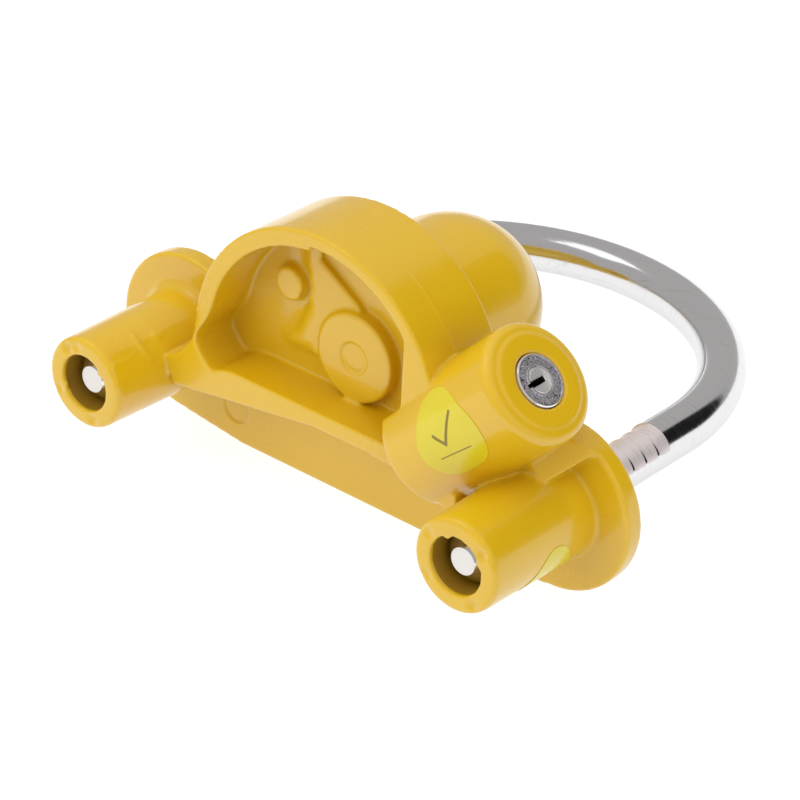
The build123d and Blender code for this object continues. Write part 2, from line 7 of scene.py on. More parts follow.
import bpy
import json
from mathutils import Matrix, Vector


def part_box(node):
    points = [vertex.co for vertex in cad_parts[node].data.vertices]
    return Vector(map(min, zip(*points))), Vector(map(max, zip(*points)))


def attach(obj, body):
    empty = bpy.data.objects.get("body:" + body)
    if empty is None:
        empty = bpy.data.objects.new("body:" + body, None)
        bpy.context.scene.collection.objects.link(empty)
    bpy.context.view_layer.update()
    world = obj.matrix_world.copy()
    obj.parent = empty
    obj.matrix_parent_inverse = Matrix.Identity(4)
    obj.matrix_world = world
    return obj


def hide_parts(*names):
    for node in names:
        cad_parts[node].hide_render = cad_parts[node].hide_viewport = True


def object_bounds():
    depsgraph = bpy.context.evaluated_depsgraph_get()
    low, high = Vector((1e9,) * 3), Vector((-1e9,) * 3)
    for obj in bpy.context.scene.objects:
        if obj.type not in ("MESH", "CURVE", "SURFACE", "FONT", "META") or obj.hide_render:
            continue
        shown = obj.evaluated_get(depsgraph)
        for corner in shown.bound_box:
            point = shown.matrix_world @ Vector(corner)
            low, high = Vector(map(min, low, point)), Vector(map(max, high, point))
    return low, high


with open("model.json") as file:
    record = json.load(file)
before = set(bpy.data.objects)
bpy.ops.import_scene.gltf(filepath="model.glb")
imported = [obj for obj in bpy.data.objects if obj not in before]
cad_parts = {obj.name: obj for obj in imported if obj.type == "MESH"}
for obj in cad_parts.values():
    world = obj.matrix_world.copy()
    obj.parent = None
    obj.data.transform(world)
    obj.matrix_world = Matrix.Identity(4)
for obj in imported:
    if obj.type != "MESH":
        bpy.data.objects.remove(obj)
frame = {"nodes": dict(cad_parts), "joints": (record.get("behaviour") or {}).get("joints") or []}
cad_low, cad_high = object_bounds()
print("nodes:", len(frame["nodes"]), "CAD box:", [round(v, 4) for v in (*cad_low, *cad_high)])

# %% Tools of the trade
import json
import math

import bmesh
import bpy
from mathutils import Matrix, Vector, kdtree, noise

MM = 0.001
collection = bpy.context.scene.collection
nodes = frame["nodes"]

# %% [markdown]
# ## Where things are
# The shackle's box gives the leg axes and the bar's size, and the key's hinge gives the axis of the lock.
# `to_leg` runs from the lock to the notched leg, along the hidden pawl. Details that no box or hinge
# gives are in millimetres, as a maker would note them.

# %% Axes and sizes from the model
shackle_low, shackle_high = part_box("shackle")
bar_r = (shackle_high.z - shackle_low.z) / 2
leg_x = shackle_high.x - bar_r
leg_z = (shackle_high.z + shackle_low.z) / 2
tip_y = shackle_low.y
bow_y = shackle_high.y - bar_r - leg_x
tube_front = cad_low.y
key_joint = next(j for j in frame["joints"] if j["name"] == "key_turn")
lock_face = Vector(key_joint["pos_m"])
outward = -Vector(key_joint["axis"]).normalized()
across = Vector((0, 1, 0))
to_leg = across.cross(outward).normalized()
lock_frame = Matrix((across, -to_leg, outward)).transposed().to_4x4()
lock_frame.translation = lock_face
print("bar radius", round(bar_r, 5), "legs at x", round(leg_x, 4), "z", round(leg_z, 4))
print("bow from y", round(bow_y, 4))

# %% [markdown]
# ## Camera
# The view is from the front, above and to the right, with a long lens and a slight roll, so the nearer
# leg tube is the lower one and the shackle runs away to the upper right.

# %% Camera
view_azimuth, view_elevation, view_roll = (math.radians(a) for a in (38.852, 29.664, 3.022))
view_distance = 0.768722
view_origin = Vector((0, -5.7, -19)) * MM     # between the two flanges
view_shift = Vector((9.499, 4.073)) * MM      # to the right and up from there, in the camera's plane
lens, sensor = 140.09, 36
back = Vector((
    math.sin(view_azimuth) * math.cos(view_elevation),
    -math.cos(view_azimuth) * math.cos(view_elevation),
    math.sin(view_elevation),
))
level = Vector((math.cos(view_azimuth), math.sin(view_azimuth), 0))
right = Matrix.Rotation(view_roll, 3, back) @ level
up = back.cross(right)
camera_data = bpy.data.cameras.new("camera")
camera_data.sensor_width = sensor
camera_data.lens = lens
camera = bpy.data.objects.new("camera", camera_data)
collection.objects.link(camera)
camera.matrix_world = Matrix((right, up, back)).transposed().to_4x4()
camera.location = view_origin + right * view_shift.x + up * view_shift.y + back * view_distance
bpy.context.scene.camera = camera
print("camera at", [round(v, 3) for v in camera.location])

# %% [markdown]
# ## Table and light
# The lock lies on a white table, on the lower edge of its bar and on the underside of the bow, so the
# table is tilted a little against the lock's own axes. Three large soft boxes light the paint evenly.
# They would draw hard white bands on the chrome, so it mirrors only one dim window.

# %% Table, tangent to the bow and touching the bar's lower edge
bow_run = shackle_high.y - bar_r
bow_rise = leg_z - cad_low.z
table_half = 0.5
table_tilt = math.atan2(bow_rise, bow_run) - math.asin(bar_r / math.hypot(bow_run, bow_rise))
bm = bmesh.new()
bmesh.ops.create_grid(bm, x_segments=1, y_segments=1, size=table_half)
bmesh.ops.rotate(bm, verts=bm.verts, matrix=Matrix.Rotation(table_tilt, 3, "X"))
bmesh.ops.translate(bm, verts=bm.verts, vec=(0, 0, cad_low.z))
table_mesh = bpy.data.meshes.new("table")
bm.to_mesh(table_mesh)
bm.free()
table = bpy.data.objects.new("table", table_mesh)
collection.objects.link(table)
print("table tilt", round(math.degrees(table_tilt), 2), "degrees")

# %% Soft boxes
def soft_box(name, place, aim, size, power, mirrored=True):
    """A square area light of a given size, aimed at a point. Polished parts mirror it only if asked."""
    light = bpy.data.lights.new(name, "AREA")
    light.shape = "SQUARE"
    light.size = size
    light.energy = power
    box = bpy.data.objects.new(name, light)
    box.visible_glossy = mirrored
    box.location = place
    box.rotation_euler = (Vector(aim) - Vector(place)).to_track_quat("-Z", "Y").to_euler()
    collection.objects.link(box)
    return box


lights = [
    soft_box("top_box", (-0.15, 0.10, 1.10), (0, 0.02, 0), 1.6, 9, mirrored=False),
    soft_box("front_box", (-0.55, -1.05, 0.55), (0, 0, 0), 1.3, 8.5, mirrored=False),
    soft_box("right_box", (1.00, -0.35, 0.55), (0, 0, 0), 0.9, 4, mirrored=False),
    soft_box("window", (-0.45, -0.30, 1.00), (0, 0, 0), 0.5, 0.7),
]
print("lights:", [light.name for light in lights])


# %% [markdown]
# ## The room
# The room is an even warm grey with one dark lobe behind the lock, which gives the chrome its dark
# streak. Rays from the camera see plain white instead, so that the ground stays pale from every side.

# %% World shader
def put(tree, kind, **values):
    """Adds a shader node, sets its plain properties and returns it."""
    node = tree.nodes.new(kind)
    for key, value in values.items():
        setattr(node, key, value)
    return node


dark_way = Vector((0.54, 0.68, 0.50))         # from the lock to the middle of the dark lobe
lobe_from, lobe_to = 0.90, 0.94               # cosines at the lobe's rim and at its full darkness
room_light, lobe_light = 0.46, 0.012
world = bpy.data.worlds.new("room")
world.use_nodes = True
tree = world.node_tree
background = tree.nodes["Background"]
direction = put(tree, "ShaderNodeTexCoord")
lobe = put(tree, "ShaderNodeVectorMath", operation="DOT_PRODUCT")
lobe.inputs[1].default_value = dark_way.normalized()
dark = put(tree, "ShaderNodeMapRange", interpolation_type="SMOOTHSTEP")
dark.inputs["From Min"].default_value = lobe_from
dark.inputs["From Max"].default_value = lobe_to
dark.inputs["To Min"].default_value = room_light
dark.inputs["To Max"].default_value = lobe_light
path = put(tree, "ShaderNodeLightPath")
seen = put(tree, "ShaderNodeMix", data_type="FLOAT")
seen.inputs["B"].default_value = 1.0
tree.links.new(direction.outputs["Generated"], lobe.inputs[0])
tree.links.new(lobe.outputs["Value"], dark.inputs["Value"])
tree.links.new(path.outputs["Is Camera Ray"], seen.inputs["Factor"])
tree.links.new(dark.outputs["Result"], seen.inputs["A"])
tree.links.new(seen.outputs["Result"], background.inputs["Strength"])
wall_tint = put(tree, "ShaderNodeMix", data_type="RGBA")
wall_tint.inputs["A"].default_value = (1.0, 0.95, 0.94, 1)
wall_tint.inputs["B"].default_value = (1, 1, 1, 1)
tree.links.new(path.outputs["Is Camera Ray"], wall_tint.inputs["Factor"])
tree.links.new(wall_tint.outputs["Result"], background.inputs["Color"])
bpy.context.scene.world = world
bpy.context.scene.view_settings.view_transform = "Standard"
print("world:", world.name)

# %% [markdown]
# ## Shared surface effects
# Three effects come back on several finishes, so each is a node group with its own inputs: the skin of
# a sprayed surface, the rubs that handling leaves on bare metal, and the fine lines of a turned surface.


# %% Node group helper
def new_group(name, inputs, outputs):
    """An empty shader group. Inputs are (name, default) pairs, outputs are names, and all are values."""
    group = bpy.data.node_groups.new(name, "ShaderNodeTree")
    for label, default in inputs:
        socket = group.interface.new_socket(label, in_out="INPUT", socket_type="NodeSocketFloat")
        socket.default_value = default
    for label in outputs:
        group.interface.new_socket(label, in_out="OUTPUT", socket_type="NodeSocketFloat")
    return group, put(group, "NodeGroupInput"), put(group, "NodeGroupOutput")


def noise_at(tree, scale, detail=2.0, roughness=0.5):
    """A noise texture on Object coordinates."""
    place = put(tree, "ShaderNodeTexCoord")
    texture = put(tree, "ShaderNodeTexNoise")
    texture.inputs["Scale"].default_value = scale
    texture.inputs["Detail"].default_value = detail
    texture.inputs["Roughness"].default_value = roughness
    tree.links.new(place.outputs["Object"], texture.inputs["Vector"])
    return texture


# %% Sprayed skin: orange peel, broad waves and a slow drift of tone
skin, skin_in, skin_out = new_group("sprayed_skin", [("Peel", 0.5), ("Wave", 1.0)], ["Height", "Tone"])
peel, wave, drift = noise_at(skin, 900), noise_at(skin, 120), noise_at(skin, 35, 4, 0.6)
peel_part = put(skin, "ShaderNodeMath", operation="MULTIPLY")
wave_part = put(skin, "ShaderNodeMath", operation="MULTIPLY")
skin_sum = put(skin, "ShaderNodeMath", operation="ADD")
skin.links.new(peel.outputs["Fac"], peel_part.inputs[0])
skin.links.new(skin_in.outputs["Peel"], peel_part.inputs[1])
skin.links.new(wave.outputs["Fac"], wave_part.inputs[0])
skin.links.new(skin_in.outputs["Wave"], wave_part.inputs[1])
skin.links.new(peel_part.outputs[0], skin_sum.inputs[0])
skin.links.new(wave_part.outputs[0], skin_sum.inputs[1])
skin.links.new(skin_sum.outputs[0], skin_out.inputs["Height"])
skin.links.new(drift.outputs["Fac"], skin_out.inputs["Tone"])
print("group", skin.name, [socket.name for socket in skin.interface.items_tree])

# %% Handling rubs: sparse short scratches where two stretched noises cross
rubs, rubs_in, rubs_out = new_group("handling_rubs", [("Amount", 0.5)], ["Rub", "Height"])
rub_place = put(rubs, "ShaderNodeTexCoord")
rub_turn = put(rubs, "ShaderNodeMapping")
rub_turn.inputs["Rotation"].default_value = (0.5, 0.9, 0.3)
rub_turn.inputs["Scale"].default_value = (90, 1600, 400)
rub_noise = put(rubs, "ShaderNodeTexNoise")
rub_noise.inputs["Scale"].default_value = 1.0
rub_noise.inputs["Detail"].default_value = 3.0
rub_cut = put(rubs, "ShaderNodeMapRange")
rub_cut.inputs["From Min"].default_value = 0.58
rub_cut.inputs["From Max"].default_value = 0.75
rub_amount = put(rubs, "ShaderNodeMath", operation="MULTIPLY")
rubs.links.new(rub_place.outputs["Object"], rub_turn.inputs["Vector"])
rubs.links.new(rub_turn.outputs["Vector"], rub_noise.inputs["Vector"])
rubs.links.new(rub_noise.outputs["Fac"], rub_cut.inputs["Value"])
rubs.links.new(rub_cut.outputs["Result"], rub_amount.inputs[0])
rubs.links.new(rubs_in.outputs["Amount"], rub_amount.inputs[1])
rubs.links.new(rub_amount.outputs[0], rubs_out.inputs["Rub"])
rubs.links.new(rub_noise.outputs["Fac"], rubs_out.inputs["Height"])
print("group", rubs.name, [socket.name for socket in rubs.interface.items_tree])

# %% Turned lines: rings along the lock's own axis, as a lathe leaves them
turned, turned_in, turned_out = new_group("turned_lines", [("Pitch", 1.0)], ["Height"])
turned_place = put(turned, "ShaderNodeTexCoord")
along = put(turned, "ShaderNodeVectorMath", operation="DOT_PRODUCT")
along.inputs[1].default_value = outward
line_scale = put(turned, "ShaderNodeMath", operation="MULTIPLY")
line_noise = put(turned, "ShaderNodeTexNoise", noise_dimensions="1D")
line_noise.inputs["Scale"].default_value = 6000
line_noise.inputs["Detail"].default_value = 3.0
turned.links.new(turned_place.outputs["Object"], along.inputs[0])
turned.links.new(along.outputs["Value"], line_scale.inputs[0])
turned.links.new(turned_in.outputs["Pitch"], line_scale.inputs[1])
turned.links.new(line_scale.outputs[0], line_noise.inputs["W"])
turned.links.new(line_noise.outputs["Fac"], turned_out.inputs["Height"])
print("group", turned.name, [socket.name for socket in turned.interface.items_tree])


# %% [markdown]
# ## Finishes
# Each finish is one Principled shader. Its constants sit on the shader's own sockets, and the groups
# only feed what changes over the surface: colour, roughness and the bump's height.


# %% Finish helpers
def principled(name, colour, roughness, metallic=0.0, **sockets):
    """A material with its constants set on the shader. Returns the material, its tree and its shader."""
    material = bpy.data.materials.new(name)
    material.use_nodes = True
    shader = material.node_tree.nodes["Principled BSDF"]
    shader.inputs["Base Color"].default_value = (*colour, 1)
    shader.inputs["Roughness"].default_value = roughness
    shader.inputs["Metallic"].default_value = metallic
    for label, value in sockets.items():
        shader.inputs[label.replace("_", " ")].default_value = value
    return material, material.node_tree, shader


def effect(tree, group, **values):
    """Places a shared group in a material with its own input values."""
    node = put(tree, "ShaderNodeGroup", node_tree=group)
    for label, value in values.items():
        node.inputs[label].default_value = value
    return node


mask_low, mask_high = 0.3, 0.7                # nearly all of a noise's values lie between these


def vary(tree, factor, socket, low, high):
    """Feeds a shader's value between low and high by a mask."""
    span = put(tree, "ShaderNodeMapRange")
    span.inputs["From Min"].default_value = mask_low
    span.inputs["From Max"].default_value = mask_high
    span.inputs["To Min"].default_value = low
    span.inputs["To Max"].default_value = high
    tree.links.new(factor, span.inputs["Value"])
    tree.links.new(span.outputs["Result"], socket)


def tint(tree, factor, socket, first, second):
    """Feeds a shader's colour between two colours by a mask."""
    mix = put(tree, "ShaderNodeMix", data_type="RGBA")
    mix.inputs["A"].default_value = (*first, 1)
    mix.inputs["B"].default_value = (*second, 1)
    tree.links.new(factor, mix.inputs["Factor"])
    tree.links.new(mix.outputs["Result"], socket)


def emboss(tree, height, shader, distance, strength=1.0):
    """Turns a height into the shader's normal. The distance is in metres."""
    bump = put(tree, "ShaderNodeBump")
    bump.inputs["Distance"].default_value = distance
    bump.inputs["Strength"].default_value = strength
    tree.links.new(height, bump.inputs["Height"])
    tree.links.new(bump.outputs["Normal"], shader.inputs["Normal"])


# %% Yellow powder coat
coat, tree, shader = principled(
    "yellow_powder_coat", (0.69, 0.43, 0.006), 0.30, IOR=1.5, Coat_Weight=0.7, Coat_Roughness=0.10,
)
skin_node = effect(tree, skin, Peel=0.35, Wave=1.0)
tone = skin_node.outputs["Tone"]
tint(tree, tone, shader.inputs["Base Color"], (0.66, 0.405, 0.004), (0.72, 0.455, 0.008))
vary(tree, tone, shader.inputs["Roughness"], 0.26, 0.34)
emboss(tree, skin_node.outputs["Height"], shader, 0.00006)
print("finish", coat.name)

# %% Dark coat in the bores: painted shade of the deep bores, and some thinner paint where the spray barely reaches
bore_shade_coat, tree, shader = principled("painted_shade_in_bores", (0.30, 0.16, 0.006), 0.5)
skin_node = effect(tree, skin, Peel=0.8, Wave=1.0)
tone = skin_node.outputs["Tone"]
tint(tree, tone, shader.inputs["Base Color"], (0.22, 0.115, 0.005), (0.38, 0.21, 0.008))
emboss(tree, skin_node.outputs["Height"], shader, 0.00008)
print("finish", bore_shade_coat.name)

# %% Chrome of the shackle
chrome, tree, shader = principled("shackle_chrome", (0.78, 0.79, 0.80), 0.12, 1.0)
rub_node = effect(tree, rubs, Amount=0.5)
rub = rub_node.outputs["Rub"]
tint(tree, rub, shader.inputs["Base Color"], (0.78, 0.79, 0.80), (0.62, 0.62, 0.63))
vary(tree, rub_node.outputs["Height"], shader.inputs["Roughness"], 0.09, 0.20)
emboss(tree, rub_node.outputs["Height"], shader, 0.000006)
print("finish", chrome.name)

# %% Ground notches, whiter and duller than the polished bar
ground, tree, shader = principled("ground_notches", (0.84, 0.78, 0.78), 0.38, 0.55)
rub_node = effect(tree, rubs, Amount=0.8)
rub = rub_node.outputs["Rub"]
tint(tree, rub, shader.inputs["Base Color"], (0.84, 0.78, 0.78), (0.55, 0.50, 0.50))
vary(tree, rub_node.outputs["Height"], shader.inputs["Roughness"], 0.36, 0.5)
emboss(tree, rub_node.outputs["Height"], shader, 0.00001)
print("finish", ground.name)

# %% Sawn tips of the shackle, dull zinc
zinc, tree, shader = principled("sawn_tips", (0.86, 0.86, 0.85), 0.55, 0.3)
skin_node = effect(tree, skin, Peel=1.0, Wave=1.0)
tone = skin_node.outputs["Tone"]
tint(tree, tone, shader.inputs["Base Color"], (0.80, 0.80, 0.79), (0.90, 0.90, 0.89))
emboss(tree, skin_node.outputs["Height"], shader, 0.00003)
print("finish", zinc.name)

# %% Lock's chrome: bright rims, and the stippled ring between them
rim_chrome, tree, shader = principled("lock_rims", (0.92, 0.91, 0.93), 0.12, 0.75)
line_node = effect(tree, turned, Pitch=1.0)
vary(tree, line_node.outputs["Height"], shader.inputs["Roughness"], 0.08, 0.16)
emboss(tree, line_node.outputs["Height"], shader, 0.000002)
stipple, tree, shader = principled("stippled_ring", (0.60, 0.58, 0.63), 0.12, 1.0)
skin_node = effect(tree, skin, Peel=1.0, Wave=0.5)
tone = skin_node.outputs["Tone"]
tint(tree, tone, shader.inputs["Base Color"], (0.42, 0.40, 0.46), (0.80, 0.78, 0.83))
emboss(tree, skin_node.outputs["Height"], shader, 0.00008)
print("finishes", rim_chrome.name, stipple.name)

# %% Plated plug and brass wafers
nickel, tree, shader = principled("plated_plug", (0.80, 0.80, 0.78), 0.30, 0.6)
rub_node = effect(tree, rubs, Amount=0.7)
rub = rub_node.outputs["Rub"]
tint(tree, rub, shader.inputs["Base Color"], (0.82, 0.82, 0.80), (0.60, 0.57, 0.53))
vary(tree, rub_node.outputs["Height"], shader.inputs["Roughness"], 0.18, 0.32)
brass, tree, shader = principled("wafer_brass", (0.66, 0.47, 0.20), 0.30, 1.0)
rub_node = effect(tree, rubs, Amount=0.6)
rub = rub_node.outputs["Rub"]
tint(tree, rub, shader.inputs["Base Color"], (0.66, 0.47, 0.20), (0.45, 0.30, 0.12))
emboss(tree, rub_node.outputs["Height"], shader, 0.000005)
print("finishes", nickel.name, brass.name)

# %% Turned steel, and wire with a film of oil
steel, tree, shader = principled("turned_steel", (0.50, 0.50, 0.51), 0.30, 1.0)
line_node = effect(tree, turned, Pitch=0.8)
vary(tree, line_node.outputs["Height"], shader.inputs["Roughness"], 0.22, 0.38)
emboss(tree, line_node.outputs["Height"], shader, 0.000006)
wire, tree, shader = principled("oiled_wire", (0.30, 0.30, 0.32), 0.25, 1.0)
rub_node = effect(tree, rubs, Amount=0.4)
rub = rub_node.outputs["Rub"]
tint(tree, rub, shader.inputs["Base Color"], (0.32, 0.32, 0.34), (0.18, 0.16, 0.14))
print("finishes", steel.name, wire.name)

# %% Rubber of the seal, and near-black painted shade for the keyway
rubber, tree, shader = principled("seal_rubber", (0.025, 0.025, 0.026), 0.62)
skin_node = effect(tree, skin, Peel=0.8, Wave=0.4)
vary(tree, skin_node.outputs["Tone"], shader.inputs["Roughness"], 0.52, 0.70)
emboss(tree, skin_node.outputs["Height"], shader, 0.00003)
# Near-black sheet that paints the shade inside the keyway and its notch.
keyway_shade, tree, shader = principled("painted_keyway_shade", (0.012, 0.011, 0.010), 0.5)
skin_node = effect(tree, skin, Peel=1.0, Wave=1.0)
vary(tree, skin_node.outputs["Tone"], shader.inputs["Roughness"], 0.40, 0.65)
print("finishes", rubber.name, keyway_shade.name)

# %% Sticker film and its ink
film, tree, shader = principled(
    "sticker_film", (0.70, 0.58, 0.02), 0.22, IOR=1.5, Coat_Weight=0.3, Coat_Roughness=0.08,
)
skin_node = effect(tree, skin, Peel=0.2, Wave=1.0)
tone = skin_node.outputs["Tone"]
tint(tree, tone, shader.inputs["Base Color"], (0.64, 0.53, 0.010), (0.70, 0.60, 0.018))
emboss(tree, skin_node.outputs["Height"], shader, 0.00003)
ink, tree, shader = principled("sticker_ink", (0.20, 0.15, 0.02), 0.4)
skin_node = effect(tree, skin, Peel=0.6, Wave=0.3)
tone = skin_node.outputs["Tone"]
tint(tree, tone, shader.inputs["Base Color"], (0.16, 0.12, 0.015), (0.30, 0.22, 0.03))
print("finishes", film.name, ink.name)

# %% Table finish, which glows a little more for the camera than it lights the lock
glow_on_lock, glow_seen = 0.68, 0.84
table_paint, tree, shader = principled(
    "white_table", (0.38, 0.38, 0.38), 0.9, Emission_Color=(1, 1, 1, 1),
)
glow = put(tree, "ShaderNodeLightPath")
glow_span = put(tree, "ShaderNodeMapRange")
glow_span.inputs["To Min"].default_value = glow_on_lock
glow_span.inputs["To Max"].default_value = glow_seen
tree.links.new(glow.outputs["Is Camera Ray"], glow_span.inputs["Value"])
tree.links.new(glow_span.outputs["Result"], shader.inputs["Emission Strength"])
skin_node = effect(tree, skin, Peel=0.0, Wave=0.2)
vary(tree, skin_node.outputs["Tone"], shader.inputs["Roughness"], 0.85, 0.95)
table_mesh.materials.append(table_paint)
print("finish", table_paint.name)


# %% [markdown]
# ## Making a piece
# Every new mesh has its doubles merged, is turned the right way out, shaded smooth with its sharp edges
# kept, and hung on the body that it moves with. Two functions do that, so that no piece misses a step.


# %% Piece helpers
def to_piece(bm, name, sharp=35):
    """Merges doubles, faces a bmesh outwards and makes it an object. Edges over `sharp` stay crisp."""
    bmesh.ops.remove_doubles(bm, verts=bm.verts, dist=1e-7)
    bmesh.ops.recalc_face_normals(bm, faces=bm.faces)
    mesh = bpy.data.meshes.new(name)
    bm.to_mesh(mesh)
    bm.free()
    mesh.shade_smooth()
    mesh.set_sharp_from_angle(angle=math.radians(sharp))
    piece = bpy.data.objects.new(name, mesh)
    collection.objects.link(piece)
    return piece


def install(piece, body, slot, *finishes, stands_for=()):
    """Gives a piece its finishes and its body, and hides the nodes that it stands for. The slot is not
    used.
    """
    for finish in finishes:
        piece.data.materials.append(finish)
    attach(piece, body)
    if stands_for:
        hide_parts(*stands_for)
    triangles = sum(len(face.vertices) - 2 for face in piece.data.polygons)
    print("piece", piece.name, "on", body, "with", triangles, "triangles")
    return piece


def copy_of(node):
    """A bmesh with a CAD node's shape, its loose triangles merged."""
    bm = bmesh.new()
    bm.from_mesh(nodes[node].data)
    bmesh.ops.remove_doubles(bm, verts=bm.verts, dist=1e-6)
    return bm


def applied(piece):
    """The piece's mesh with its modifiers applied."""
    evaluated = piece.evaluated_get(bpy.context.evaluated_depsgraph_get())
    mesh = bpy.data.meshes.new_from_object(evaluated)
    piece.modifiers.clear()
    piece.data = mesh
    return mesh


def smooth(bm, points, rounds):
    """Moves each point halfway to the middle of its neighbours, a number of times."""
    for _ in range(rounds):
        bmesh.ops.smooth_vert(
            bm, verts=points, factor=0.5, use_axis_x=True, use_axis_y=True, use_axis_z=True,
        )


print("helpers ready for", len(nodes), "nodes")

# %% [markdown]
# ## The casting
# Die castings have no sharp edges: the mould is radiused, and powder coat rounds what is left. Bevelling
# dozens of crossing edges would fail somewhere, so the CAD shape is rebuilt as an even skin of small
# voxels, and smoothing that skin rounds every edge and fills every corner a little, as paint does.

# %% Rebuild the body as an even skin
voxel = 0.42 * MM
rounding = 7
casting = to_piece(copy_of("lock_body"), "painted_casting")
remesh = casting.modifiers.new("skin", "REMESH")
remesh.mode = "VOXEL"
remesh.voxel_size = voxel
bm = bmesh.new()
bm.from_mesh(applied(casting))
smooth(bm, bm.verts, rounding)
print("skin points:", len(bm.verts))

# %% [markdown]
# The cup's floor has a step that fades out towards the plain side. Many more rounds on that side alone
# melt the step away there. The round stud that stands on it keeps its edge: its points are left out.

# %% Rub down the step in the cup's floor
stud_x, stud_z, stud_reach = -17.8 * MM, 14.5 * MM, 6.5 * MM
step_low, step_high = Vector((-22, -17, -5)) * MM, Vector((-9.5, -6, 27)) * MM
rub_down = 90
step_points = []
for vertex in bm.verts:
    inside = all(step_low[i] < vertex.co[i] < step_high[i] for i in range(3))
    if inside and math.hypot(vertex.co.x - stud_x, vertex.co.z - stud_z) > stud_reach:
        step_points.append(vertex)
smooth(bm, step_points, rub_down)
bm.normal_update()
print("rubbed down:", len(step_points))

# %% [markdown]
# Marks in the paint tell that the part is real: runs on the leg tube, small pips round the tube ends,
# a ring that an ejector pin pressed, and the parting line over the arch. A brush that follows a line of
# points pushes them out of the skin or into it, as a sculptor would.

# %% A brush that raises or sinks a line of paint
skin_tree = kdtree.KDTree(len(bm.verts))
for vertex in bm.verts:
    skin_tree.insert(vertex.co, vertex.index)
skin_tree.balance()
bm.verts.ensure_lookup_table()


def brush(points, width, height):
    """Moves the skin along its normals near a line of points in mm. A negative height sinks it."""
    reach = {}
    for start, end in zip(points, points[1:] or points):
        start, end = Vector(start) * MM, Vector(end) * MM
        steps = max(1, math.ceil((end - start).length / (width * MM / 3)))
        for i in range(steps + 1):
            for _, index, distance in skin_tree.find_range(start.lerp(end, i / steps), width * MM):
                reach[index] = min(distance, reach.get(index, width * MM))
    for index, distance in reach.items():
        fall = 1 - distance / (width * MM)
        vertex = bm.verts[index]
        vertex.co += vertex.normal * (height * MM * fall * fall * (3 - 2 * fall))
    return len(reach)


def arc_points(centre, radius, first, last, step):
    """Points on an arc that faces the front, by turn in degrees. All lengths are in mm."""
    turns = [math.radians(degrees) for degrees in range(first, last + 1, step)]
    return [
        (centre[0] + radius * math.cos(turn), centre[1], centre[2] + radius * math.sin(turn))
        for turn in turns
    ]


# %% Runs in the paint: points, width and height in mm
runs = [
    (
        [(-54.5, -30.5, -7.9), (-52.2, -30.6, -9.2), (-50.6, -30.3, -10.9), (-49.5, -29.6, -12.5)],
        1.5, 0.38,
    ),
    ([(-52.6, -24.8, -9.0), (-51.9, -24.2, -9.7)], 1.5, 0.4),
    ([(-51.2, -40.5, -10.9), (-50.6, -36.5, -10.9), (-50.9, -33.0, -10.2)], 1.2, 0.16),
    ([(57.5, -6.5, -5.6), (60.5, -6.2, -5.5), (63.5, -6.5, -6.0)], 1.4, 0.3),
    (
        [(-16.1, -13.9, 20.8), (-12.5, -13.9, 20.0), (-11.7, -13.9, 16.5), (-13.5, -13.9, 12.5)],
        1.3, -0.30,
    ),
    ([(-3.1, -25.2, 33.5), (0.3, -25.2, 33.4), (3.8, -25.2, 32.9)], 1.2, -0.25),
]
print("skin points moved by runs:", sum(brush(*run) for run in runs))

# %% Pips round the tube ends: turn in degrees and height in mm, by side
pip_ring, pip_width = 9.8, 2.4
lip_width, lip_height = 1.8, 0.8
leg_mm, drop_mm, end_mm = leg_x / MM, leg_z / MM, tube_front / MM
pips = {
    -1: ((127, -0.75), (208, -0.60), (288, -0.70), (38, 0.45), (105, -0.5)),
    1: ((146, -0.55), (41, -0.80), (305, -0.75), (216, -0.60), (20, 0.4)),
}
touched = 0
for side, marks in pips.items():
    for degrees, height in marks:
        turn = math.radians(degrees)
        spot = (side * leg_mm + pip_ring * math.cos(turn), end_mm, drop_mm + pip_ring * math.sin(turn))
        touched += brush([spot], pip_width, height)
lips = [(67.3, -42.2, -15.2), (57.2, -42.2, -11.9), (-54.3, -42.2, -13.9), (-66.9, -42.2, -21.8)]
touched += sum(brush([lip], lip_width, lip_height) for lip in lips)
print("skin points moved by pips:", touched)

# %% Rings on the floor and the bar, and the parting line over the arch
mark_r, mark_width, mark_height = 3.7, 1.0, -0.38
mark_centres = [(4.6, -15.2, 2.9), (-41.9, -5.6, -33.6)]
parting_centre, parting_r = (0, -14.6, -1.0), 38.6
parting_width, parting_height = 0.8, 0.14
touched = 0
for centre in mark_centres:
    touched += brush(arc_points(centre, mark_r, 0, 360, 15), mark_width, mark_height)
touched += brush(arc_points(parting_centre, parting_r, 24, 60, 4), parting_width, parting_height)
print("skin points moved by rings and parting line:", touched)


# %% [markdown]
# Smoothing pulls the skin into round holes, so the bores are opened again to their own radius: each
# point that came too near an axis is moved straight away from it.


# %% Open the bores again
def open_bore(point, axis, radius, low, high):
    """Moves skin points inside a bore out to its wall, between two lengths along its axis."""
    moved = 0
    for vertex in bm.verts:
        arm = vertex.co - point
        distance = arm.dot(axis)
        spoke = arm - axis * distance
        if low < distance < high and spoke.length < radius:
            vertex.co += spoke.normalized() * (radius - spoke.length)
            moved += 1
    return moved


guide_gap, past_ends = 0.12 * MM, 1 * MM
lock_bore_r, lock_bore_depth, past_face = 6.38 * MM, 22 * MM, 2 * MM
seat_r, seat_depth = 6.78 * MM, 0.9 * MM      # the wider seat of the bezel at the bore's mouth
guide_r, guide_start = bar_r + guide_gap, tube_front - past_ends
opened = [
    open_bore(Vector((side * leg_x, 0, leg_z)), across, guide_r, guide_start, past_ends)
    for side in (-1, 1)
]
opened.append(open_bore(lock_face, outward, lock_bore_r, -lock_bore_depth, past_face))
opened.append(open_bore(lock_face, outward, seat_r, -seat_depth, past_face))
print("bore points opened:", opened)

